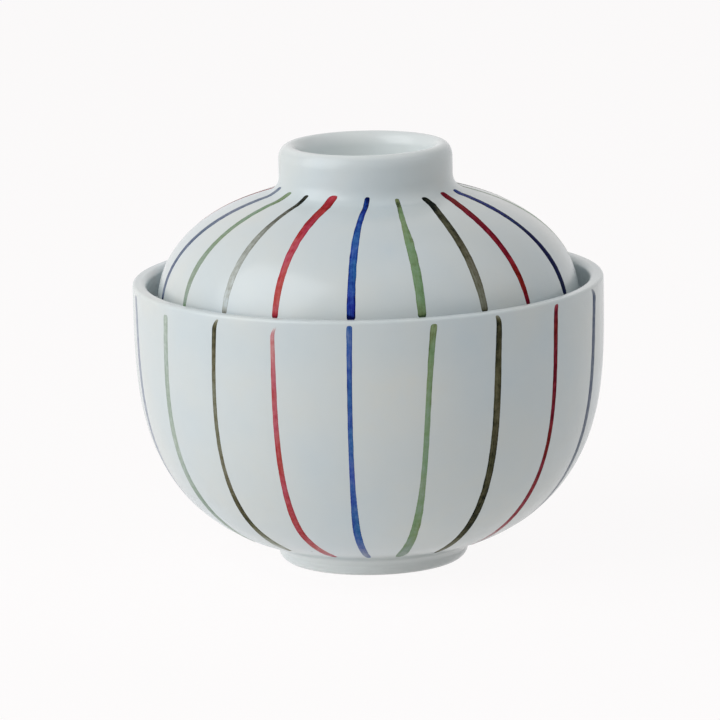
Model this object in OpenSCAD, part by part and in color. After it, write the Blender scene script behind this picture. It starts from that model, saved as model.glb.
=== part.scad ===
// Lidded soup bowl in porcelain: a turned bowl on a foot ring, and a domed lid with a ring knob.
// The lid drops inside the rim and rests on a ledge. Millimetres, +Z up.
// The origin is the centre of the foot ring, on the table.

/* [Bowl] */
// Outside diameter at the rim
bowl_d = 104; // [90:1:160]
// Height of the rim above the table
bowl_h = 63.2; // [50:0.2:110]
// Thickness of the lip above the lid's ledge
lip_wall = 3.2; // [2:0.1:4]
// Radius of the lip's outer edge
lip_edge = 0.7; // [0.4:0.1:0.9]
// Radius of the lip's inner edge, as far as the lip has room for it
lip_inside = 1.4; // [0.4:0.1:2]
// Thickness of the wall below the ledge
body_wall = 4; // [3:0.1:6]
// Thickness of the floor over the hollow of the foot
floor_wall = 5; // [3.5:0.1:9]
// Diameter of the flat of the floor, inside
floor_d = 36; // [20:1:50]
// How soon the belly stands up: higher is straighter at the top
belly_rise = 3.5; // [2.4:0.1:4.5]
// How round the belly is where it leaves the foot
belly_round = 1.45; // [1.3:0.05:2.2]

/* [Foot ring] */
// Diameter of the ring where it meets the belly
foot_d = 44.2; // [36:0.2:70]
// Height of the ring at the belly
foot_h = 4.5; // [3:0.1:10]
// How far out from the ring its side curves into the belly
foot_blend = 4; // [1:0.5:8]
// How far the ring draws in from the belly to the table, on the radius
foot_draft = 1.1; // [0:0.1:2.5]
// Thickness of the ring at the table
foot_wall = 4.6; // [3.4:0.1:6]
// Radius of the ring's outer edge at the table
foot_edge = 2.4; // [0.4:0.1:3.4]
// Depth of the hollow inside the ring
foot_hollow = 3.6; // [2.4:0.1:8]

/* [Lid seat] */
// Depth of the ledge below the rim
seat_depth = 6.2; // [4:0.1:12]
// Gap all round between the edge of the lid and the lip
lid_gap = 2.2; // [1:0.1:4]
// Width of the ledge under the edge of the lid
seat_rest = 2.7; // [2:0.1:5]
// Height over which the ledge runs back into the wall
ledge_run = 11; // [6:0.5:20]

/* [Lid] */
// Height of the dome from the ledge to its crown
dome_h = 27.5; // [16:0.5:45]
// How square the dome is: 2 is an ellipse
dome_power = 2.25; // [1.8:0.05:3]
// Thickness of the dome at its edge
lid_wall = 3; // [2.4:0.1:5]
// Thickness of the dome at its crown
crown_wall = 4.2; // [3:0.1:8]

/* [Ring knob] */
// Outside diameter of the knob
knob_d = 38.3; // [26:0.1:56]
// Height of the knob above the crown of the dome
knob_h = 8.5; // [6:0.1:16]
// Thickness of the ring, which is round on top
knob_wall = 4.4; // [3:0.1:7]
// Height of the ring's round top
knob_crown = 3; // [1.5:0.1:4.5]
// Depth of the hollow inside the ring
knob_hollow = 7.4; // [6.4:0.1:10]
// Radius of the corner round the hollow's floor
knob_corner = 2.5; // [0.6:0.1:2.8]
// Radius of the hollow curve between the knob and the dome
knob_fillet = 4; // [0.6:0.1:4.4]

/* [Finish] */
// Radius of the small edges: inside of the foot ring, ledge and lid
edge_r = 0.6; // [0.3:0.05:1]
// Radius of the inside corners: lip and foot hollow
corner_r = 1.2; // [0.6:0.1:2]

/* [Hidden] */
porcelain = [0.82, 0.86, 0.87];
turn_fn = 180;
curve_steps = 40;
dome_steps = 32;
ledge_steps = 16;
round_steps = 8;

rim_r = bowl_d / 2;
lip_z = bowl_h - lip_edge;
lip_in_r = rim_r - lip_wall;
lip_in_edge = min(lip_inside, lip_wall - 2 * lip_edge);
body_in_r = rim_r - body_wall;
floor_r = floor_d / 2;
floor_z = foot_hollow + floor_wall;
foot_r = foot_d / 2;
foot_tip_r = foot_r - foot_draft;
foot_in_r = foot_tip_r - foot_wall;
seat_z = bowl_h - seat_depth;
lid_r = lip_in_r - lid_gap;
seat_in_r = lid_r - seat_rest;
ledge_z = seat_z - edge_r;
ledge_foot_z = ledge_z - ledge_run;
lid_in_r = lid_r - lid_wall;
crown_z = seat_z + dome_h;
knob_r = knob_d / 2;
knob_top_z = crown_z + knob_h;
knob_in_r = knob_r - knob_wall;
knob_floor_z = knob_top_z - knob_hollow;

// Points on an arc from angle a0 to a1, in order
function arc(centre, r, a0, a1, steps) = oval(centre, [r, r], a0, a1, steps);

// The same on an oval with half its width and half its height in size
function oval(centre, size, a0, a1, steps) =
    [for (i = [0:steps]) let (a = a0 + (a1 - a0) * i / steps)
        centre + [size[0] * cos(a), size[1] * sin(a)]];

// Points of the soft curve that rounds a corner from p to q, without its two ends
function bend(p, corner, q, steps) =
    [for (i = [1:steps - 1]) let (t = i / steps)
        p * (1 - t) * (1 - t) + corner * 2 * t * (1 - t) + q * t * t];

// Eases from 0 to 1 as t goes from 0 to 1
function ease(t) = let (u = min(max(t, 0), 1)) u * u * (3 - 2 * u);

// Belly curve: leaves [r0, z0] flat and stands upright at [r1, z1], as s goes from 0 to 1
function belly(s, r0, r1, z0, z1) =
    let (t = pow(s, belly_round))
    [r0 + (r1 - r0) * pow(1 - pow(1 - t, belly_rise), 1 / belly_round), z0 + (z1 - z0) * t];

// Outside of the wall, from the ring to the lip, as s goes from 0 to 1
function outer_wall(s) = belly(s, foot_r, rim_r, foot_h, lip_z);

// Share of the belly curve at which it has gone out by x of its whole way out
function belly_share(x) = pow(1 - pow(1 - pow(x, belly_round), 1 / belly_rise), 1 / belly_round);

// Share of the inside's belly curve at which it reaches height z
function inner_share(z) = pow((z - floor_z) / (lip_z - floor_z), 1 / belly_round);

// Inside of the wall, which swells inwards to the lid's ledge
function inner_wall(s) =
    let (p = belly(s, floor_r, body_in_r, floor_z, lip_z))
    let (w = ease((p[1] - ledge_foot_z) / ledge_run))
    [p[0] * (1 - w) + seat_in_r * w, p[1]];

// Dome curve of edge radius r and height h over the ledge, at angle a from the crown
function dome(a, r, h) = [r * pow(sin(a), 2 / dome_power), seat_z + h * pow(cos(a), 2 / dome_power)];

// Where the curve up from the ring meets the belly
blend_share = belly_share(foot_blend / (rim_r - foot_r));

// Where the fillet of the knob meets the dome: slope of the dome there, and the fillet's centre
fillet_r = knob_r + knob_fillet;
fillet_share = pow(fillet_r / lid_r, dome_power);
fillet_slope = atan(dome_h / fillet_r * fillet_share * pow(1 - fillet_share, 1 / dome_power - 1));
fillet_z = seat_z + dome_h * pow(1 - fillet_share, 1 / dome_power) + knob_fillet / cos(fillet_slope);
dome_end = asin(pow((fillet_r - knob_fillet * sin(fillet_slope)) / lid_r, dome_power / 2));

bowl_outline = concat(
    [[0, foot_hollow]],
    arc([foot_in_r - corner_r, foot_hollow - corner_r], corner_r, 90, 0, round_steps),
    arc([foot_in_r + edge_r, edge_r], edge_r, 180, 270, round_steps),
    arc([foot_tip_r - foot_edge, foot_edge], foot_edge, 270, 360, round_steps),
    bend([foot_tip_r, foot_edge], [foot_r, foot_h], outer_wall(blend_share), round_steps),
    [for (i = [0:curve_steps - 1]) outer_wall(blend_share + (1 - blend_share) * i / curve_steps)],
    arc([rim_r - lip_edge, lip_z], lip_edge, 0, 90, round_steps),
    arc([lip_in_r + lip_in_edge, bowl_h - lip_in_edge], lip_in_edge, 90, 180, round_steps),
    arc([lip_in_r - corner_r, seat_z + corner_r], corner_r, 360, 270, round_steps),
    arc([seat_in_r + edge_r, ledge_z], edge_r, 90, 180, round_steps),
    [for (i = [1:ledge_steps]) inner_wall(inner_share(ledge_z - ledge_run * i / ledge_steps))],
    [for (i = [curve_steps - 1:-1:0]) inner_wall(inner_share(ledge_foot_z) * i / curve_steps)],
    [[0, floor_z]]);

lid_outline = concat(
    [for (i = [0:dome_steps - 1]) dome(90 * i / dome_steps, lid_in_r, dome_h - crown_wall)],
    arc([lid_in_r + edge_r, seat_z + edge_r], edge_r, 180, 270, round_steps),
    arc([lid_r - edge_r, seat_z + edge_r], edge_r, 270, 360, round_steps),
    [for (i = [1:dome_steps - 1]) dome(90 + (dome_end - 90) * i / dome_steps, lid_r, dome_h)],
    arc([fillet_r, fillet_z], knob_fillet, 270 - fillet_slope, 180, round_steps),
    oval([knob_r - knob_wall / 2, knob_top_z - knob_crown], [knob_wall / 2, knob_crown], 0, 180,
        2 * round_steps),
    arc([knob_in_r - knob_corner, knob_floor_z + knob_corner], knob_corner, 360, 270, round_steps),
    [[0, knob_floor_z]]);

module bowl() {
    color(porcelain) rotate_extrude($fn = turn_fn) polygon(bowl_outline);
}

module lid() {
    color(porcelain) rotate_extrude($fn = turn_fn) polygon(lid_outline);
}

bowl();
lid();
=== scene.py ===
"""Lidded soup bowl: pale glazed porcelain with upright brush lines in blue, green, brown and red.

Metres, +Z up. The origin is the centre of the foot ring on the table, and -Y faces the camera.
A place on a turned surface is a turn in degrees from -Y towards +X and a way along its outline.
"""
import math
import random
from collections import namedtuple

import bpy
from mathutils import Matrix, Vector, noise


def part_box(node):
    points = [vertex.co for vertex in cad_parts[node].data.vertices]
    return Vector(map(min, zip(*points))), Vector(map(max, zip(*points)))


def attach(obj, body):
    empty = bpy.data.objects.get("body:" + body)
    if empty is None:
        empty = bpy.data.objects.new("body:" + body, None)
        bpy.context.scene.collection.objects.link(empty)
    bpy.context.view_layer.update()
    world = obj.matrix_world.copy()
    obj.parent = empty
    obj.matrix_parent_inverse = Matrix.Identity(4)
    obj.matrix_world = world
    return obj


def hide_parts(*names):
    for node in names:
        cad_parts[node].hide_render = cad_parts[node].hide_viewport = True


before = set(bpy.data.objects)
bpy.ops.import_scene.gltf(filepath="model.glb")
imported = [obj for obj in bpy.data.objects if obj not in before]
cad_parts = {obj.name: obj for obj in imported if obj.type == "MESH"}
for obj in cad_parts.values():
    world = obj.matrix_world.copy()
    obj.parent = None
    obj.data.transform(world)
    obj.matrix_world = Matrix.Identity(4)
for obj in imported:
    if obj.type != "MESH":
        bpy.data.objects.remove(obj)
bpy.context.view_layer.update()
bowl_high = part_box("bowl")[1]
lid_low, lid_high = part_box("lid")

MM = 0.001
SEED = 7

# Bowl
RIM_R = bowl_high.x
BOWL_H = bowl_high.z
LIP_WALL = 3.2 * MM
LIP_EDGE = 0.7 * MM  # radius of its outer edge
LIP_INSIDE = 1.4 * MM  # radius of its inner edge
LIP_Z = BOWL_H - LIP_EDGE
BODY_WALL = 4 * MM
FLOOR_WALL = 5 * MM
FLOOR_R = 18 * MM
BELLY_RISE = 3.5  # higher is straighter at the top
BELLY_ROUND = 1.45  # how round the belly is where it leaves the foot

# Foot ring
FOOT_R = 22.1 * MM
FOOT_H = 4.5 * MM
FOOT_BLEND = 4 * MM  # how far out from the ring its side curves into the belly
FOOT_DRAFT = 1.1 * MM  # how far it draws in from the belly to the table
FOOT_WALL = 4.6 * MM
FOOT_EDGE = 2.4 * MM  # radius of its outer edge at the table
FOOT_HOLLOW = 3.6 * MM
FOOT_TIP_R = FOOT_R - FOOT_DRAFT
FOOT_IN_R = FOOT_TIP_R - FOOT_WALL
FLOOR_Z = FOOT_HOLLOW + FLOOR_WALL

# Lid, and the ledge that it rests on
LID_R = lid_high.x
SEAT_Z = lid_low.z
SEAT_REST = 2.7 * MM  # width of the ledge under the lid's edge
SEAT_IN_R = LID_R - SEAT_REST
LEDGE_RUN = 11 * MM  # height over which it runs back into the wall
DOME_H = 27.5 * MM
DOME_POWER = 2.25  # 2 is an ellipse, and higher is squarer
LID_WALL = 3 * MM
CROWN_WALL = 4.2 * MM

# Ring knob
KNOB_TOP = lid_high.z
KNOB_R = 19.15 * MM
KNOB_WALL = 4.4 * MM
KNOB_CROWN = 3 * MM  # height of the ring's round top
KNOB_HOLLOW = 7.4 * MM
KNOB_CORNER = 2.5 * MM
KNOB_FILLET = 4 * MM
KNOB_FLOOR = KNOB_TOP - KNOB_HOLLOW

# Small edges and inside corners
EDGE_R = 0.6 * MM
CORNER_R = 1.2 * MM

# The glaze ends in a soft roll above the bare ring that each piece stands on
BARE_H = 0.15 * MM
ROLL = 0.07 * MM
ROLL_FADE = 1.2 * MM

# How much paler the glaze is on the lip, the foot and the knob, over what height, and how far it pools
# The lip's crest is a little paler, where the glaze runs thin
LIP_THIN = 0.15
# Painted light: the foot's whole side is paler, standing in for light where the belly shades it
FOOT_PAINTED_LIGHT = 0.85
# The ring's crest is paler where the glaze runs thin, and the knob's hollow is paler as painted light in
# its shade
KNOB_THIN_AND_PAINTED_LIGHT = 0.6
PALE_H = 1.1 * MM
POOL_REACH = 1.6 * MM
KNOB_POOL_IN = 1 * MM

# The paint stands proud of the wall, so the wall leaves room for it inside the rim's width
PAINT_H = 0.045 * MM
PAINT_SINK = 0.02 * MM
WALL_R = RIM_R - PAINT_H

# Fineness of the meshes
TURN_STEPS = 160
ARC_STEPS = 10
BELLY_STEPS = 64
DOME_STEPS = 48
SHORT_STEPS = 4
LEDGE_STEPS = 5
FLAT_STEPS = 6
FLOOR_STEPS = 8


# Outlines

def oval(centre, width, height, start, end, steps):
    """Points on an oval of half a width and half a height, from angle start to end, in degrees."""
    angles = [math.radians(start + (end - start) * i / steps) for i in range(steps + 1)]
    return [(centre[0] + width * math.cos(a), centre[1] + height * math.sin(a)) for a in angles]


def arc(centre, radius, start, end, steps=ARC_STEPS):
    return oval(centre, radius, radius, start, end, steps)


def closer_at_ends(i, steps):
    """Share of the way at step i, with the steps closer together near both ends."""
    return 0.5 - 0.5 * math.cos(math.pi * i / steps)


def straight(p, q, steps):
    """Points between p and q, without them, closer together near both ends."""
    shares = [closer_at_ends(i, steps) for i in range(1, steps)]
    return [(p[0] + (q[0] - p[0]) * t, p[1] + (q[1] - p[1]) * t) for t in shares]


def bend(p, corner, q, steps):
    """Points of the soft curve that rounds a corner from p to q."""
    shares = [i / steps for i in range(steps + 1)]
    weights = [((1 - t) ** 2, 2 * t * (1 - t), t * t) for t in shares]
    return [tuple(a * u + b * v + c * w for u, v, w in zip(p, corner, q)) for a, b, c in weights]


def ease(t):
    """Goes smoothly from 0 to 1 as t does."""
    t = min(max(t, 0), 1)
    return t * t * (3 - 2 * t)


def ways_along(points):
    """How far along an outline each of its points lies."""
    ways = [0]
    for p, q in zip(points, points[1:]):
        ways.append(ways[-1] + math.dist(p, q))
    return ways


def belly(share, r0, r1, z0, z1):
    """Belly curve: leaves (r0, z0) flat and stands upright at (r1, z1)."""
    t = share ** BELLY_ROUND
    return r0 + (r1 - r0) * (1 - (1 - t) ** BELLY_RISE) ** (1 / BELLY_ROUND), z0 + (z1 - z0) * t


def belly_share(x):
    """Share of the belly curve at which it has gone out by x of its whole way out."""
    return (1 - (1 - x ** BELLY_ROUND) ** (1 / BELLY_RISE)) ** (1 / BELLY_ROUND)


def outer_wall(share):
    return belly(share, FOOT_R, WALL_R, FOOT_H, LIP_Z)


def inner_wall(share):
    """Inside of the bowl, which swells inwards to the ledge under the lid."""
    r, z = belly(share, FLOOR_R, RIM_R - BODY_WALL, FLOOR_Z, LIP_Z)
    w = ease((z - (SEAT_Z - EDGE_R - LEDGE_RUN)) / LEDGE_RUN)
    return r * (1 - w) + SEAT_IN_R * w, z


def inner_share(z):
    """Share of the inside's belly curve at which it reaches height z."""
    return ((z - FLOOR_Z) / (LIP_Z - FLOOR_Z)) ** (1 / BELLY_ROUND)


def dome(angle, radius, height):
    """Dome curve over the seat, at an angle in degrees from the crown."""
    a = math.radians(angle)
    across = max(math.sin(a), 0) ** (2 / DOME_POWER)
    up = max(math.cos(a), 0) ** (2 / DOME_POWER)
    return radius * across, SEAT_Z + height * up


def knob_foot():
    """Where the knob's fillet meets the dome: dome angle, fillet centre and dome slope, in degrees."""
    r = KNOB_R + KNOB_FILLET
    share = (r / LID_R) ** DOME_POWER
    slope = math.atan(DOME_H / r * share * (1 - share) ** (1 / DOME_POWER - 1))
    z = SEAT_Z + DOME_H * (1 - share) ** (1 / DOME_POWER) + KNOB_FILLET / math.cos(slope)
    end = math.asin(((r - KNOB_FILLET * math.sin(slope)) / LID_R) ** (DOME_POWER / 2))
    return math.degrees(end), (r, z), math.degrees(slope)


def bowl_outside():
    """Outside of the bowl in two lists: the foot's edge, and from it up the belly to the lip."""
    edge = arc((FOOT_TIP_R - FOOT_EDGE, FOOT_EDGE), FOOT_EDGE, 270, 360, 2 * ARC_STEPS)
    first = belly_share(FOOT_BLEND / (WALL_R - FOOT_R))
    wall = [outer_wall(first + (1 - first) * i / BELLY_STEPS) for i in range(BELLY_STEPS)]
    blend = bend(edge[-1], (FOOT_R, FOOT_H), wall[0], 2 * ARC_STEPS)[1:-1]
    lip = arc((WALL_R - LIP_EDGE, LIP_Z), LIP_EDGE, 0, 90)
    return edge, blend + wall + lip


def bowl_outline():
    """From the axis under the foot, up the outside, over the lip and down the inside to the axis."""
    hollow = arc((FOOT_IN_R - CORNER_R, FOOT_HOLLOW - CORNER_R), CORNER_R, 90, 0)
    inside_edge = arc((FOOT_IN_R + EDGE_R, EDGE_R), EDGE_R, 180, 270)
    foot, wall = bowl_outside()
    lip_r = RIM_R - LIP_WALL
    lip = arc((lip_r + LIP_INSIDE, BOWL_H - LIP_INSIDE), LIP_INSIDE, 90, 180)
    seat = arc((lip_r - CORNER_R, SEAT_Z + CORNER_R), CORNER_R, 360, 270)
    ledge = arc((SEAT_IN_R + EDGE_R, SEAT_Z - EDGE_R), EDGE_R, 90, 180)
    top = inner_share(SEAT_Z - EDGE_R)
    inside = [inner_wall(top * i / BELLY_STEPS) for i in range(BELLY_STEPS - 1, -1, -1)]
    return (
        [(0, FOOT_HOLLOW)] + straight((0, FOOT_HOLLOW), hollow[0], FLAT_STEPS) + hollow
        + straight(hollow[-1], inside_edge[0], SHORT_STEPS) + inside_edge
        + straight(inside_edge[-1], foot[0], FLAT_STEPS) + foot
        + wall + straight(wall[-1], lip[0], SHORT_STEPS) + lip
        + straight(lip[-1], seat[0], FLAT_STEPS) + seat
        + straight(seat[-1], ledge[0], LEDGE_STEPS) + ledge
        + inside + straight(inside[-1], (0, FLOOR_Z), FLOOR_STEPS) + [(0, FLOOR_Z)]
    )


def lid_outside():
    """Outside of the lid, from its lower edge up the dome and the knob's fillet."""
    end, fillet, slope = knob_foot()
    edge = arc((LID_R - EDGE_R, SEAT_Z + EDGE_R), EDGE_R, 270, 360)
    over = [dome(90 + (end - 90) * i / DOME_STEPS, LID_R, DOME_H) for i in range(1, DOME_STEPS)]
    over = [p for p in over if p[1] > SEAT_Z + EDGE_R]
    return edge + over + arc(fillet, KNOB_FILLET, 270 - slope, 180)


def lid_outline():
    """From the axis under the crown, down the inside, round the edge, up the dome and over the knob."""
    lid_in_r = LID_R - LID_WALL
    under = [dome(90 * i / DOME_STEPS, lid_in_r, DOME_H - CROWN_WALL) for i in range(DOME_STEPS)]
    under = [p for p in under if p[1] > SEAT_Z + EDGE_R]
    inside_edge = arc((lid_in_r + EDGE_R, SEAT_Z + EDGE_R), EDGE_R, 180, 270)
    outside = lid_outside()
    ring_mid = (KNOB_R - KNOB_WALL / 2, KNOB_TOP - KNOB_CROWN)
    ring = oval(ring_mid, KNOB_WALL / 2, KNOB_CROWN, 0, 180, 3 * ARC_STEPS)
    hollow_r = KNOB_R - KNOB_WALL - KNOB_CORNER
    hollow = arc((hollow_r, KNOB_FLOOR + KNOB_CORNER), KNOB_CORNER, 360, 270)
    return (
        under + inside_edge + straight(inside_edge[-1], outside[0], LEDGE_STEPS)
        + outside + straight(outside[-1], ring[0], SHORT_STEPS)
        + ring + straight(ring[-1], hollow[0], SHORT_STEPS)
        + hollow + straight(hollow[-1], (0, KNOB_FLOOR), FLOOR_STEPS) + [(0, KNOB_FLOOR)]
    )


def with_glaze_roll(outline, bare_top):
    """The outline with the roll in which the glaze ends, just above the bare ring."""
    rolled = [outline[0]]
    for before, p, after in zip(outline, outline[1:], outline[2:]):
        way = Vector(after) - Vector(before)
        out = Vector((way.y, -way.x)).normalized()
        above = p[1] - bare_top
        lift = ROLL * math.exp(-above / ROLL_FADE) if above > 0 else 0
        rolled.append(tuple(Vector(p) + out * lift))
    return rolled + [outline[-1]]


# Turned meshes

def place(turn, r, z):
    """Point at a turn in degrees, a radius and a height."""
    a = math.radians(turn)
    return r * math.sin(a), -r * math.cos(a), z


def add_piece(name, verts, faces, uvs, body):
    """A smooth mesh that rides on a body, with its own map for baking."""
    mesh = bpy.data.meshes.new(name)
    mesh.from_pydata(verts, [], faces)
    layer = mesh.uv_layers.new(name="OFBake")
    layer.data.foreach_set("uv", [c for uv in uvs for c in uv])
    mesh.shade_smooth()
    piece = bpy.data.objects.new(name, mesh)
    bpy.context.scene.collection.objects.link(piece)
    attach(piece, body)
    return piece


def add_marks(piece, name, values, kind="FLOAT", field="value"):
    """A number or a vector on each vertex, for the materials to read."""
    mark = piece.data.attributes.new(name, kind, "POINT")
    mark.data.foreach_set(field, values)


def turned(name, outline, body, marks):
    """Turns an outline round the axis. marks gives each mark's value at an outline point."""
    ways = ways_along(outline)
    heights = [way / ways[-1] for way in ways]
    turns = [-180 + 360 * j / TURN_STEPS for j in range(TURN_STEPS)]
    verts, first = [], []
    values = {mark: [] for mark in marks}
    for p in outline:
        first.append(len(verts))
        ring = turns if p[0] > 0 else turns[:1]
        verts += [place(turn, *p) for turn in ring]
        for mark, value in marks.items():
            values[mark] += [value(p)] * len(ring)

    def corners(i, j):
        """Vertices of outline point i at both ends of step j, or the one on the axis, with their map."""
        u0, u1 = j / TURN_STEPS, (j + 1) / TURN_STEPS
        if outline[i][0] > 0:
            far = (j + 1) % TURN_STEPS
            return [(first[i] + j, u0, heights[i]), (first[i] + far, u1, heights[i])]
        return [(first[i], (u0 + u1) / 2, heights[i])]

    faces, uvs = [], []
    for i in range(len(outline) - 1):
        for j in range(TURN_STEPS):
            around = corners(i, j) + corners(i + 1, j)[::-1]
            faces.append([corner[0] for corner in around])
            uvs += [corner[1:] for corner in around]
    piece = add_piece(name, verts, faces, uvs, body)
    for mark in marks:
        add_marks(piece, mark, values[mark])
    return piece


def near_points(*points):
    """A mark that is 1 at the given outline points and fades away from them."""
    return lambda p: max(math.exp(-math.dist(p, q) / POOL_REACH) for q in points)


# Painted lines

# turn is where the line settles, and top and low are how far it is off that at its start and its end,
# in degrees. late and short are how far inside the others' its start and its end lie, and hook is how
# far aside the brush first touches, in millimetres. dull is how grey its paint is. Each from the start
# to the end, width is in millimetres and load is how much paint it carries.
Line = namedtuple("Line", "turn top low late short hook dull width load")
COLOURS = ("blue", "green", "brown", "red")

BOWL_FRONT = (
    Line(-76.2, -2.4, 0, 0.5, 2, 0, 0.5,
         (2.3, 2.5, 2.5, 2.3, 1.9), (0.36, 0.38, 0.37, 0.33, 0.24)),
    Line(-58.9, 1.1, -1, 1.5, 3, 0, 0.12,
         (1.75, 1.75, 1.95, 2.6, 3), (0.33, 0.39, 0.36, 0.5, 0.35)),
    Line(-41.2, 1.6, 2.6, 0.25, 2.2, 0.9, 0,
         (1.3, 1.12, 1.18, 1.75, 3.2), (0.9, 0.69, 0.68, 0.88, 0.32)),
    Line(-23.5, 0, 5.5, 0.8, 0, 0.8, 0.1,
         (1, 1.3, 1.42, 1.85, 2.45), (0.44, 0.66, 0.74, 0.76, 0.42)),
    Line(-5.2, 0.5, 2.8, 0.1, 0, 0, 0.1,
         (1.35, 1.2, 1.25, 1.85, 1.65), (0.74, 0.82, 0.77, 0.82, 0.37)),
    Line(12.6, 2.8, -1.4, 0.4, 0, 0, 0,
         (1.6, 1.33, 1.37, 2.1, 2.7), (0.82, 0.72, 0.66, 0.74, 0.44)),
    Line(31.2, 1.2, -2, 0, 0, -0.7, 0,
         (1.55, 1.85, 1.9, 2.05, 2.12), (0.95, 0.83, 0.89, 0.97, 0.6)),
    Line(50, 0.9, 0.8, 0.1, 0.5, 0.25, 0.2,
         (1.6, 1.52, 1.45, 1.95, 2.6), (0.98, 0.97, 0.95, 0.85, 0.13)),
    Line(69.2, 2.4, 2, -0.3, 4, -2, 0.8,
         (2.4, 2.35, 2.5, 2.9, 2.2), (0.76, 0.69, 0.65, 0.44, 0.2)),
)
LID_FRONT = (
    Line(-77.3, -6, 0.5, 0.1, -1.4, 3.2, 0.75,
         (2.5, 2.75, 2.6, 2.3, 2.1), (0.69, 0.67, 0.75, 0.73, 0.66)),
    Line(-60.5, -3, 0.5, 0.4, -0.8, 2.1, 0.15,
         (1.95, 1.98, 1.85, 2.1, 1.35), (0.82, 0.67, 0.66, 0.57, 0.48)),
    Line(-42.9, -1.5, 0.4, 0.4, -0.2, 1.2, 0.35,
         (1.38, 1.38, 1.85, 1.8, 1.5), (1.04, 0.76, 0.48, 0.32, 0.18)),
    Line(-26.2, 3, 0.2, 0, 0, 0.8, 0,
         (2.5, 2.38, 2.05, 1.78, 1.58), (0.88, 0.84, 0.71, 0.68, 0.62)),
    Line(-4.9, 6.2, 0, 0.3, 0, -0.2, 0,
         (1.27, 1.46, 1.85, 1.9, 2.08), (1.02, 0.87, 0.8, 0.86, 0.86)),
    Line(14.2, 6.8, 0, 1, 0, -0.6, 0,
         (1.12, 1.35, 2.2, 2.25, 2.08), (0.98, 0.76, 0.79, 0.76, 0.76)),
    Line(32.2, 10.5, 0.4, 1.4, -0.1, -1.6, 0.1,
         (2.12, 2.15, 2.16, 2.26, 1.88), (1.1, 0.92, 0.86, 0.7, 0.57)),
    Line(47.4, 14, 0.8, 1.1, -0.4, -2, 0,
         (2.58, 2.52, 2.14, 1.83, 1.42), (1.06, 1.02, 1, 0.96, 0.95)),
    Line(67.1, 10, 0.8, 1.5, -0.9, -1.8, 0.25,
         (2.8, 2.66, 2.12, 2.45, 2.28), (0.95, 0.98, 1.04, 1.12, 1.12)),
)

# Each piece has this many lines in all. Those round the far side are like the front lines with these
# places in the list, and the gaps next to the outermost front lines are wider by this many degrees.
LINE_COUNT = 20
FULLER = (2, 3, 4, 5, 6, 7)
EDGE_CLEAR = 11

# A far line starts off its turn by up to most degrees, and by nothing where its turn is the lean's
Lean = namedtuple("Lean", "most turn")
BOWL_LEAN = Lean(1.5, -30)
LID_LEAN = Lean(11, -30)

# How far they stray: turn and top in degrees, dull as it is, and the rest times the front line's own
FAR_TURN = (-1.2, 1.2)
FAR_TOP = (-1, 1)
FAR_LOW = (-0.6, 0.9)
FAR_LATE = (0.2, 0.9)
FAR_SHORT = (0.1, 0.6)
FAR_HOOK = (-0.5, 0.5)
FAR_WIDTH = (0.88, 1.12)
FAR_LOAD = (0.75, 1)
FAR_DULL = (0, 0.2)


def all_lines(front, lean, seed):
    """The lines that the camera sees, then lines like the fuller ones, spaced round the far side."""
    rng = random.Random(seed)
    kinds = len(COLOURS)
    lines = [(COLOURS[i % kinds], line) for i, line in enumerate(front)]
    hidden = LINE_COUNT - len(front)
    gap = (360 + front[0].turn - front[-1].turn - 2 * EDGE_CLEAR) / (hidden + 1)
    for i in range(hidden):
        k = len(front) + i
        like = front[rng.choice([j for j in FULLER if j % kinds == k % kinds])]
        turn = front[-1].turn + EDGE_CLEAR + gap * (i + 1) + rng.uniform(*FAR_TURN)
        lines.append((COLOURS[k % kinds], like._replace(
            turn=turn,
            top=lean.most * math.sin(math.radians(turn - lean.turn)) + rng.uniform(*FAR_TOP),
            low=like.low * rng.uniform(*FAR_LOW),
            late=like.late * rng.uniform(*FAR_LATE),
            short=like.short * rng.uniform(*FAR_SHORT),
            hook=like.hook * rng.uniform(*FAR_HOOK),
            dull=rng.uniform(*FAR_DULL),
            width=[w * rng.uniform(*FAR_WIDTH) for w in like.width],
            load=[d * rng.uniform(*FAR_LOAD) for d in like.load],
        )))
    return lines


class Track:
    """A surface's outline from the top down, measured along its length."""

    def __init__(self, points):
        self.points = points
        self.ways = ways_along(points)
        self.length = self.ways[-1]

    def at(self, way):
        """Radius, height and outward normal at a way along the track."""
        i = 0
        while i < len(self.ways) - 2 and self.ways[i + 1] < way:
            i += 1
        p, q = Vector(self.points[i]), Vector(self.points[i + 1])
        t = (way - self.ways[i]) / (self.ways[i + 1] - self.ways[i])
        down = (q - p).normalized()
        r, z = p.lerp(q, t)
        return r, z, (-down.y, down.x)


def along_keys(keys, share):
    """Smooth value at a share of the way through evenly spaced keys."""
    at = min(max(share, 0), 1) * (len(keys) - 1)
    i = min(int(at), len(keys) - 2)
    return keys[i] + (keys[i + 1] - keys[i]) * ease(at - i)


# How a line is laid: where it starts and stops, in metres from the ends of its track; how soon it
# settles to its turn and where its end bends away, as shares of its length; the lengths of its first
# touch, of its tail and of the dark drop at its end; how much width and paint the first touch loses,
# and how much width the tail keeps.
Brush = namedtuple("Brush", "start stop settle bend touch tail drop lift tip")
BOWL_BRUSH = Brush(
    start=1.2 * MM, stop=7.4 * MM, settle=0.28, bend=0.72,
    touch=2.4 * MM, tail=3 * MM, drop=0.7 * MM, lift=0.6, tip=0.7,
)
LID_BRUSH = Brush(
    start=1.42 * MM, stop=5.55 * MM, settle=0.2, bend=0.55,
    touch=3.2 * MM, tail=0.8 * MM, drop=0.7 * MM, lift=0.08, tip=0.9,
)

# Rows along a line, and vertices across it as shares of half its width
LINE_ROWS = 96
ACROSS = (-1, -0.82, -0.45, 0, 0.45, 0.82, 1)

# Power of a line's rounded ends, where 2 is a half circle, and the share of its width at their tips
BLUNTNESS = 2.8
LEAST_WIDTH = 0.02

# Power of the paint's domed section, where 0.5 is half an oval, and the paint that the drop adds
PAINT_DOME = 0.7
DROP_LOAD = 0.65

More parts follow.
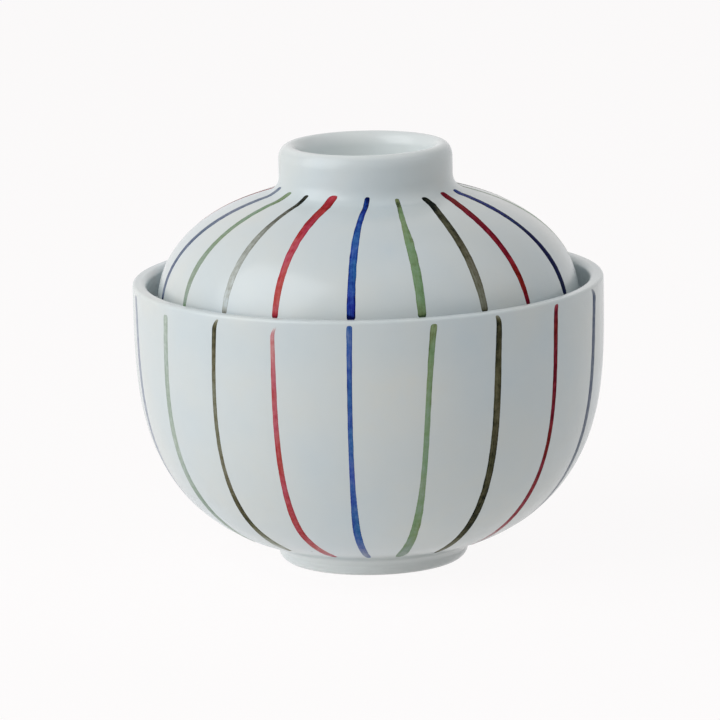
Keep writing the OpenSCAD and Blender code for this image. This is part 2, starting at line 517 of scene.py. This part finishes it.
# Unsteadiness of the hand: how far the stop strays, how far the edges do as a share of half the
# width, its waves, and which of its streams moves the stop and the two edges
STOP_WANDER = 0.35 * MM
EDGE_WANDER = 0.09
WANDER_PER_MM = 0.45
STOP_STREAM, LEFT_STREAM, RIGHT_STREAM = 9, 1, 2

# A line's part of its piece's map: how far along it the strip and its two end caps lie, and how far
# across it the top and the underside lie
MAP_STRIP = (0.01, 0.99)
MAP_CAPS = (0.004, 0.996)
MAP_TOP = (0.05, 0.8)
MAP_UNDER = (0.84, 0.96)

Row = namedtuple("Row", "turn r z out half sides way load")


def wander(way, number, stream):
    """Slow unsteadiness of the hand on a line, between about -1 and 1, the same on every run."""
    return noise.noise(Vector((way / MM * WANDER_PER_MM, number, stream)))


def blunt(run, half):
    """Share of its width that a line of half a width has, at a run from its blunt end."""
    return (1 - max(0, 1 - run / half) ** BLUNTNESS) ** (1 / BLUNTNESS)


def line_rows(track, brush, line, number):
    """Rows of one painted line, from its start to its end."""
    start = brush.start + line.late * MM
    stop = brush.stop + line.short * MM + STOP_WANDER * wander(0, number, STOP_STREAM)
    length = track.length - stop - start
    rows = []
    for i in range(LINE_ROWS + 1):
        share = closer_at_ends(i, LINE_ROWS)
        way = start + length * share
        done, left = way - start, start + length - way
        r, z, out = track.at(way)
        turn = line.turn + line.top * math.exp(-share / brush.settle)
        turn += line.low * max(0, (share - brush.bend) / (1 - brush.bend)) ** 2
        touch = max(0, 1 - done / brush.touch) ** 2
        turn += math.degrees(line.hook * MM * touch / r)
        kept = 1 - brush.lift * touch * min(1, abs(line.hook))
        half = along_keys(line.width, share) * MM / 2
        half *= brush.tip + (1 - brush.tip) * ease(left / brush.tail)
        half *= kept
        half *= max(blunt(done, half) * blunt(left, half), LEAST_WIDTH)
        sides = [1 + EDGE_WANDER * wander(way, number, side) for side in (LEFT_STREAM, RIGHT_STREAM)]
        load = along_keys(line.load, share) + DROP_LOAD * math.exp(-left / brush.drop)
        rows.append(Row(turn, r, z, out, half, sides, way, load * kept))
    return rows


def between(ends, share):
    """Value at a share of the way from one end to the other."""
    return ends[0] + (ends[1] - ends[0]) * share


def strip_faces(base, steps, across):
    """Faces of a strip whose first vertex is base: its top, its underside and its two end caps.

    across turns a place across the line's part of the map to one on the whole map. Yields each
    face's vertices, their places on the map, and whether the face is on top.
    """
    wide = len(ACROSS)
    tops = [across(between(MAP_TOP, j / (wide - 1))) for j in range(wide)]
    under = [across(v) for v in MAP_UNDER]
    for i in range(steps):
        u0, u1 = (between(MAP_STRIP, (i + step) / steps) for step in (0, 1))
        a = base + i * wide
        for j in range(wide - 1):
            uvs = [(u0, tops[j]), (u1, tops[j]), (u1, tops[j + 1]), (u0, tops[j + 1])]
            yield (a + j, a + j + wide, a + j + wide + 1, a + j + 1), uvs, True
        b = a + wide - 1
        uvs = [(u0, under[0]), (u0, under[1]), (u1, under[1]), (u1, under[0])]
        yield (a, b, b + wide, a + wide), uvs, False
    for i, u in zip((0, steps), MAP_CAPS):
        edge = [base + i * wide + j for j in range(wide)]
        yield (edge if i == 0 else edge[::-1]), [(u, v) for v in tops], False


def painted(name, body, track, brush, lines):
    """One piece with the lines of one colour: thin domed strips whose edges sink into the glaze."""
    verts, faces, uvs, under = [], [], [], []
    paint, loads, rims, dulls = [], [], [], []
    for k, (number, line) in enumerate(lines):
        base = len(verts)
        for row in line_rows(track, brush, line, number):
            for c in ACROSS:
                aside = c * row.half * row.sides[1 if c > 0 else 0]
                turn = row.turn + math.degrees(aside / row.r)
                lift = (PAINT_H + PAINT_SINK) * (1 - c * c) ** PAINT_DOME - PAINT_SINK
                verts.append(place(turn, row.r + row.out[0] * lift, row.z + row.out[1] * lift))
                paint += [row.way / MM, aside / MM, number]
                loads.append(row.load)
                rims.append(abs(c))
                dulls.append(line.dull)
        for face, face_uvs, on_top in strip_faces(base, LINE_ROWS, lambda v: (k + v) / len(lines)):
            if not on_top:
                under.append(len(faces))
            faces.append(face)
            uvs += face_uvs
    piece = add_piece(name, verts, faces, uvs, body)
    for i in under:
        piece.data.polygons[i].use_smooth = False
    add_marks(piece, "paint", paint, "FLOAT_VECTOR", "vector")
    add_marks(piece, "load", loads)
    add_marks(piece, "rim", rims)
    add_marks(piece, "dull", dulls)
    return piece


# Materials

def linear(red, green, blue):
    """Colour as written in 0 to 255, turned to the shader's linear values by the sRGB curve."""
    parts = [c / 255 for c in (red, green, blue)]
    return [c / 12.92 if c <= 0.04045 else ((c + 0.055) / 1.055) ** 2.4 for c in parts] + [1]


GLAZE = linear(207, 215, 217)
GLAZE_COOL = linear(201, 212, 217)
GLAZE_WARM = linear(212, 216, 213)
GLAZE_POOL = linear(184, 201, 207)
# Paler glaze: thin on the crests, and painted light on the shaded foot and in the knob's hollow
GLAZE_THIN_AND_PAINTED_LIGHT = linear(238, 242, 241)
BARE = linear(214, 209, 199)
BARE_DARK = linear(196, 187, 172)
SPECK = linear(112, 98, 84)

# How far the glaze's colour turns to these, at most
CLOUD_SHARE = 0.5
POOL_SHARE = 0.5
THIN_AND_PAINTED_LIGHT_SHARE = 0.85
SPECK_SHARE = 0.5

# Patterns on the porcelain: waves in a metre, layers of detail, and the noise values that count as
# none and all of it
Pattern = namedtuple("Pattern", "waves detail ends")
DRIFT = Pattern(34, 3, (0.35, 0.65))
CLOUD = Pattern(260, 4, (0.3, 0.7))
SHEEN = Pattern(120, 3, (0.3, 0.7))
STAIN = Pattern(420, 3, (0.4, 0.7))
GROUND = Pattern(2600, 4, (0.3, 0.7))

# Specks: cells in a metre, the random values that only a few cells reach, and a speck's edge
SPECK_CELLS = 150
SPECK_RARE = (0.965, 0.97)
SPECK_EDGE = (0.03, 0.055)

# Gloss and fine relief. The heights are next to a fine unevenness of the glaze with a height of 1.
GLASS_IOR = 1.5
GLAZE_ROUGH = (0.2, 0.27)
BARE_ROUGH = (0.68, 0.85)
FINE_WAVES, FINE_DETAIL = 330, 2
BROAD_WAVES, BROAD_DETAIL, BROAD_HEIGHT = 90, 1, 2
PIT_DEPTH = 1.5
GROUND_HEIGHT = 3
GLAZE_BUMP = 0.35
BUMP_DEPTH = 0.03 * MM

# Paint from a bare wash to a thick pool
PIGMENTS = {
    "blue": ((170, 176, 190), (116, 134, 172), (58, 105, 169), (29, 67, 141), (12, 26, 74)),
    "green": ((178, 190, 180), (148, 165, 150), (124, 152, 112), (102, 124, 84), (60, 80, 56)),
    "brown": ((176, 182, 174), (138, 140, 124), (98, 96, 72), (66, 66, 47), (22, 28, 24)),
    "red": ((206, 170, 172), (194, 106, 112), (176, 60, 68), (144, 36, 46), (110, 18, 30)),
}
DULL = ((188, 192, 192), (150, 155, 158), (104, 110, 116), (58, 62, 66), (16, 18, 24))
PIGMENT_STOPS = (0.25, 0.5, 0.75, 0.9, 1)

# Patterns in the paint. Their waves are in a millimetre along and across a line, and the third is the
# step from one line to the next. Three of them add to the paint's load, and the fourth moves its hue.
STREAK = Pattern((0.16, 4.5, 7.3), 4, (0.25, 0.75))
BLOT = Pattern((0.75, 0.9, 3.1), 3, (0.3, 0.7))
GRAIN = Pattern((5.5, 6.5, 1.7), 2, (0.55, 0.8))
HUE = Pattern((0.11, 0.3, 5.7), 2, (0.32, 0.68))
PATTERN_LOADS = {STREAK: (-0.1, 0.07), BLOT: (-0.08, 0.08), GRAIN: (0.01, -0.1)}

# Paint gathers at a line's edges, between these shares of half its width
RIM = (0.55, 0.88)
RIM_LOADS = (-0.02, 0.08)

# Hue runs between these along a line, where 0.5 is the pigment's own
HUE_DRIFT = {
    "blue": (0.488, 0.526),
    "green": (0.455, 0.515),
    "brown": (0.47, 0.51),
    "red": (0.488, 0.51),
}

# The loads between which paint comes to cover the glaze, and to be as rough as it gets
COVER = (0.05, 0.3)
THICK = (0.2, 1)
PAINT_ROUGH = (0.15, 0.27)
PAINT_GLOSS = 0.005
GRAIN_HEIGHT = 0.3
PAINT_BUMP = 0.3


class Look:
    """One material and short ways to add nodes to it."""

    def __init__(self, name):
        self.material = bpy.data.materials.new(name)
        self.material.use_nodes = True
        self.tree = self.material.node_tree
        self.shader = self.tree.nodes["Principled BSDF"]
        self.set("IOR", GLASS_IOR)

    def put(self, socket, value):
        """Links a socket to another node's output, or sets its value."""
        if isinstance(value, bpy.types.NodeSocket):
            self.tree.links.new(value, socket)
        else:
            socket.default_value = value

    def set(self, name, value):
        """The same for one of the shader's own inputs."""
        self.put(self.shader.inputs[name], value)

    def add(self, kind, inputs=None, **settings):
        node = self.tree.nodes.new("ShaderNode" + kind)
        for name, value in settings.items():
            setattr(node, name, value)
        for name, value in (inputs or {}).items():
            self.put(node.inputs[name], value)
        return node

    def math(self, operation, a, b, clamp=False):
        return self.add("Math", {0: a, 1: b}, operation=operation, use_clamp=clamp).outputs[0]

    def plus(self, a, b):
        return self.math("ADD", a, b)

    def times(self, a, b):
        return self.math("MULTIPLY", a, b)

    def scaled(self, vector, factors):
        node = self.add("VectorMath", {0: vector, 1: factors}, operation="MULTIPLY")
        return node.outputs[0]

    def noise(self, vector, scale, detail):
        return self.add("TexNoise", {"Vector": vector, "Scale": scale, "Detail": detail}).outputs["Fac"]

    def mix(self, factor, a, b):
        node = self.add("Mix", {0: factor, 6: a, 7: b}, data_type="RGBA")
        return node.outputs[2]

    def tint(self, colour, mask, share, other):
        """Turns a share of a colour to another one where the mask is 1."""
        return self.mix(self.times(mask, share), colour, other)

    def fit(self, value, ends, onto=(0, 1)):
        """Maps one range onto another, held at the ends."""
        inputs = {"Value": value}
        inputs["From Min"], inputs["From Max"] = ends
        inputs["To Min"], inputs["To Max"] = onto
        return self.add("MapRange", inputs).outputs["Result"]

    def pattern(self, vector, kind, onto=(0, 1)):
        """A pattern on the porcelain, mapped onto a range."""
        return self.fit(self.noise(vector, kind.waves, kind.detail), kind.ends, onto)

    def brushed(self, paint, kind):
        """The bare noise of a pattern in the paint."""
        return self.noise(self.scaled(paint, kind.waves), 1, kind.detail)

    def ramp(self, value, ground, stops, colours):
        """Goes from the ground's colour through the others, each written in 0 to 255, at its stop."""
        node = self.add("ValToRGB", {0: value})
        node.color_ramp.elements.remove(node.color_ramp.elements[1])
        node.color_ramp.elements[0].color = ground
        for stop, rgb in zip(stops, colours):
            node.color_ramp.elements.new(stop).color = linear(*rgb)
        return node.outputs["Color"]

    def mark(self, name, output="Fac"):
        return self.add("Attribute", attribute_name=name).outputs[output]

    def here(self):
        return self.add("TexCoord").outputs["Object"]

    def bump(self, height, strength):
        inputs = {"Height": height, "Strength": strength, "Distance": BUMP_DEPTH}
        return self.add("Bump", inputs).outputs["Normal"]


def glaze_colour(look, here):
    """The glaze's own colour: slow drifts between cooler and warmer, and a fine cloudiness."""
    colour = look.mix(look.pattern(here, DRIFT), GLAZE_COOL, GLAZE_WARM)
    return look.mix(look.pattern(here, CLOUD, (0, CLOUD_SHARE)), colour, GLAZE)


def glaze_specks(look, here):
    """1 on the few small specks in the glaze."""
    cells = look.add("TexVoronoi", {"Vector": here, "Scale": SPECK_CELLS, "Randomness": 1})
    chance = look.add("SeparateColor", {0: cells.outputs["Color"]}).outputs[0]
    dot = look.fit(cells.outputs["Distance"], SPECK_EDGE, (1, 0))
    return look.times(look.fit(chance, SPECK_RARE), dot)


def glaze(name):
    """Clear blue-grey glaze over porcelain, paler where it runs thin on the crests and as painted light in
    shaded places, deep in the corners, bare where it stands.
    """
    look = Look(name)
    here = look.here()
    bare = look.mark("bare")
    speck = glaze_specks(look, here)
    ground = look.noise(here, GROUND.waves, GROUND.detail)

    colour = glaze_colour(look, here)
    colour = look.tint(colour, look.mark("pool"), POOL_SHARE, GLAZE_POOL)
    # Paler glaze: thin on the crests, and painted light on the foot's side and in the knob's hollow, where
    # they lie in shade
    colour = look.tint(colour, look.mark("thin_and_painted_light"), THIN_AND_PAINTED_LIGHT_SHARE, GLAZE_THIN_AND_PAINTED_LIGHT)
    colour = look.tint(colour, speck, SPECK_SHARE, SPECK)
    stain = look.mix(look.pattern(here, STAIN), BARE, BARE_DARK)
    look.set("Base Color", look.mix(bare, colour, stain))

    sheen = look.pattern(here, SHEEN, GLAZE_ROUGH)
    matt = look.fit(ground, GROUND.ends, BARE_ROUGH)
    look.set("Roughness", look.add("Mix", {0: bare, 2: sheen, 3: matt}).outputs[0])

    fine = look.noise(here, FINE_WAVES, FINE_DETAIL)
    broad = look.noise(here, BROAD_WAVES, BROAD_DETAIL)
    peel = look.plus(fine, look.times(broad, BROAD_HEIGHT))
    pits = look.math("SUBTRACT", peel, look.times(speck, PIT_DEPTH))
    rough_ground = look.times(look.times(ground, bare), GROUND_HEIGHT)
    look.set("Normal", look.bump(look.plus(pits, rough_ground), GLAZE_BUMP))
    return look.material


def pigment(colour_name):
    """Brushed paint with hardly any gloss: streaks along the stroke, blots, dry specks, darker edges."""
    look = Look(f"{colour_name}_line")
    under = glaze_colour(look, look.here())
    paint = look.mark("paint", "Vector")
    noises = {kind: look.brushed(paint, kind) for kind in PATTERN_LOADS}
    density = look.mark("load")
    for kind, loads in PATTERN_LOADS.items():
        density = look.plus(density, look.fit(noises[kind], kind.ends, loads))
    density = look.math("ADD", density, look.fit(look.mark("rim"), RIM, RIM_LOADS), clamp=True)

    pure = look.ramp(density, GLAZE, PIGMENT_STOPS, PIGMENTS[colour_name])
    hue = look.fit(look.brushed(paint, HUE), HUE.ends, HUE_DRIFT[colour_name])
    pure = look.add("HueSaturation", {"Hue": hue, "Color": pure}).outputs["Color"]
    colour = look.mix(look.mark("dull"), pure, look.ramp(density, GLAZE, PIGMENT_STOPS, DULL))
    look.set("Base Color", look.mix(look.fit(density, COVER), under, colour))

    look.set("Roughness", look.fit(density, THICK, PAINT_ROUGH))
    look.set("Specular IOR Level", PAINT_GLOSS)
    height = look.plus(density, look.times(noises[GRAIN], GRAIN_HEIGHT))
    look.set("Normal", look.bump(height, PAINT_BUMP))
    return look.material


# The object

def bowl_thin_and_painted_light(p):
    """How much paler the bowl's glaze is: a little on the lip's crest, where it runs thin, and more down
    the foot's side, as painted light where the belly shades it.
    """
    lip = LIP_THIN * ease(1 - (BOWL_H - p[1]) / PALE_H)
    foot = FOOT_PAINTED_LIGHT * ease((FOOT_H - p[1]) / PALE_H)
    return max(lip, foot)


def make_bowl():
    outline = with_glaze_roll(bowl_outline(), BARE_H)
    seat_corner = (RIM_R - LIP_WALL, SEAT_Z)
    marks = {
        "bare": lambda p: float(p[1] < BARE_H),
        "pool": near_points((FOOT_IN_R, FOOT_HOLLOW), seat_corner),
        # The lip's crest is paler where the glaze runs thin; the foot's side is paler as painted light
        "thin_and_painted_light": bowl_thin_and_painted_light,
    }
    piece = turned("bowl_body", outline, "bowl", marks)
    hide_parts("bowl")
    piece.data.materials.append(glaze("bowl_glaze"))


def knob_thin_and_painted_light(p):
    """How much paler the knob's glaze is: on the ring's crest, where it runs thin, and all over its hollow,
    as painted light in its shade.
    """
    if p[0] > KNOB_R - KNOB_WALL / 2:
        return KNOB_THIN_AND_PAINTED_LIGHT * ease(1 - (KNOB_TOP - p[1]) / PALE_H)
    return KNOB_THIN_AND_PAINTED_LIGHT * float(p[1] > KNOB_FLOOR - PALE_H)


def make_lid():
    outline = with_glaze_roll(lid_outline(), SEAT_Z + BARE_H)
    fillet_z = knob_foot()[1][1]
    fillet_low = (KNOB_R, fillet_z - KNOB_FILLET)
    hollow_corner = (KNOB_R - KNOB_WALL - KNOB_POOL_IN, KNOB_FLOOR)
    marks = {
        "bare": lambda p: float(p[1] < SEAT_Z + BARE_H),
        "pool": near_points(fillet_low, hollow_corner),
        # The ring's crest is paler where the glaze runs thin; the knob's hollow is paler as painted light
        "thin_and_painted_light": knob_thin_and_painted_light,
    }
    piece = turned("lid_body", outline, "lid", marks)
    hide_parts("lid")
    piece.data.materials.append(glaze("lid_glaze"))


def make_lines():
    wall = Track(bowl_outside()[1][::-1])
    crown = Track(lid_outside()[::-1])
    finishes = {colour: pigment(colour) for colour in COLOURS}
    sets = (
        ("bowl", wall, BOWL_BRUSH, all_lines(BOWL_FRONT, BOWL_LEAN, SEED)),
        ("lid", crown, LID_BRUSH, all_lines(LID_FRONT, LID_LEAN, SEED + 1)),
    )
    for body, track, brush, lines in sets:
        for colour in COLOURS:
            chosen = [(i, line) for i, (own, line) in enumerate(lines) if own == colour]
            piece = painted(f"{body}_{colour}_lines", body, track, brush, chosen)
            piece.data.materials.append(finishes[colour])


# Studio

# The picture is this many pixels wide, and shows the object at this many to the metre
PICTURE_WIDTH = 720
PIXELS_PER_METRE = 4520
VIEW_WIDTH = PICTURE_WIDTH / PIXELS_PER_METRE
CAMERA_DISTANCE = 1.3
CAMERA_ELEVATION = math.radians(11.45)
CAMERA_ROLL = math.radians(1.25)

# The object's middle, and how far from it the middle of the picture lies
AIM = Vector((0, 0, KNOB_TOP / 2))
AIM_RIGHT = -2.1 * MM
AIM_UP = -2.12 * MM

# White of the table, of the table as it is seen directly, and of the background behind it
FLOOR_SIZE = 8
FLOOR_WHITE = (0.93, 0.925, 0.925, 1)
FLOOR_ROUGH = 0.9
FLOOR_GLOW = (1, 0.985, 0.985, 1)
FLOOR_SHOWS = 0.93
BACKGROUND_WHITE = (0.975, 0.958, 0.958, 1)

# Even light from all round
SKY_WHITE = (1, 1, 1, 1)
SKY_LIGHT = 0.33

# Painted light: the table glows in a pool round the foot, lighting the foot and the belly from below,
# though it is no lamp
TABLE_GLOW = 0.12
TABLE_GLOW_CENTRE = (-30 * MM, -10 * MM, 0)
TABLE_GLOW_REACH = (20 * MM, 90 * MM)


def make_camera():
    back = Vector((0, -math.cos(CAMERA_ELEVATION), math.sin(CAMERA_ELEVATION)))
    level_right = Vector((1, 0, 0))
    level_up = back.cross(level_right)
    right = level_right * math.cos(CAMERA_ROLL) - level_up * math.sin(CAMERA_ROLL)
    up = back.cross(right)
    data = bpy.data.cameras.new("camera")
    data.lens = data.sensor_width * CAMERA_DISTANCE / VIEW_WIDTH
    camera = bpy.data.objects.new("camera", data)
    bpy.context.scene.collection.objects.link(camera)
    spot = AIM + right * AIM_RIGHT + up * AIM_UP + back * CAMERA_DISTANCE
    camera.matrix_world = Matrix.Translation(spot) @ Matrix((right, up, back)).transposed().to_4x4()
    bpy.context.scene.camera = camera


def make_lamp(name, turn, elevation, distance, width, height, brightness):
    """A soft box that faces the object. brightness is what the box itself shows, where 1 is white."""
    data = bpy.data.lights.new(name, "AREA")
    data.shape = "RECTANGLE"
    data.size = width
    data.size_y = height
    data.energy = brightness * math.pi * width * height
    lamp = bpy.data.objects.new(name, data)
    bpy.context.scene.collection.objects.link(lamp)
    e = math.radians(elevation)
    way = Vector(place(turn, math.cos(e), math.sin(e)))
    lamp.location = AIM + way * distance
    lamp.rotation_euler = way.to_track_quat("Z", "Y").to_euler()


def seen_directly(tree):
    """1 for rays that show the background itself: from the camera, or in a gloss or a glass."""
    path = tree.nodes.new("ShaderNodeLightPath")
    total = path.outputs["Is Camera Ray"]
    for name in ("Is Glossy Ray", "Is Transmission Ray"):
        node = tree.nodes.new("ShaderNodeMath")
        node.operation = "MAXIMUM"
        tree.links.new(total, node.inputs[0])
        tree.links.new(path.outputs[name], node.inputs[1])
        total = node.outputs[0]
    return total


def make_floor():
    """White table that shows nearly as the white background, keeps the object's shadow, and glows round the
    foot as painted light from below.
    """
    half = FLOOR_SIZE / 2
    corners = [(-half, -half, 0), (half, -half, 0), (half, half, 0), (-half, half, 0)]
    mesh = bpy.data.meshes.new("floor")
    mesh.from_pydata(corners, [], [(0, 1, 2, 3)])
    floor = bpy.data.objects.new("floor", mesh)
    bpy.context.scene.collection.objects.link(floor)
    look = Look("floor")
    look.set("Base Color", FLOOR_WHITE)
    look.set("Roughness", FLOOR_ROUGH)
    look.set("Specular IOR Level", 0)
    # Painted light: a glowing pool on the table round the foot, fading with distance from its centre
    away = look.add("VectorMath", {0: look.here(), 1: TABLE_GLOW_CENTRE}, operation="DISTANCE")
    pool = look.fit(away.outputs["Value"], TABLE_GLOW_REACH, (TABLE_GLOW, 0))
    glow_pool = look.add("Emission", {"Color": FLOOR_WHITE, "Strength": pool})
    table = look.add("AddShader", {0: look.shader.outputs[0], 1: glow_pool.outputs[0]})
    glow = look.add("Emission", {"Color": FLOOR_GLOW, "Strength": 1})
    share = look.times(seen_directly(look.tree), FLOOR_SHOWS)
    both = look.add("MixShader", {0: share, 1: table.outputs[0], 2: glow.outputs[0]})
    output = look.tree.nodes["Material Output"]
    look.tree.links.new(both.outputs[0], output.inputs["Surface"])
    mesh.materials.append(look.material)


def make_world():
    world = bpy.data.worlds.new("studio")
    world.use_nodes = True
    tree = world.node_tree
    light = tree.nodes["Background"]
    light.inputs["Color"].default_value = SKY_WHITE
    light.inputs["Strength"].default_value = SKY_LIGHT
    shown = tree.nodes.new("ShaderNodeBackground")
    shown.inputs["Color"].default_value = BACKGROUND_WHITE
    mix = tree.nodes.new("ShaderNodeMixShader")
    tree.links.new(seen_directly(tree), mix.inputs[0])
    tree.links.new(light.outputs[0], mix.inputs[1])
    tree.links.new(shown.outputs[0], mix.inputs[2])
    tree.links.new(mix.outputs[0], tree.nodes["World Output"].inputs["Surface"])
    bpy.context.scene.world = world


make_camera()
make_bowl()
make_lid()
make_lines()
make_floor()
make_world()
make_lamp("key", turn=-65, elevation=29, distance=1, width=0.98, height=1.2, brightness=2.1)
make_lamp("fill", turn=75, elevation=55, distance=1, width=1, height=1, brightness=0.55)
bpy.context.scene.view_settings.view_transform = "Standard"
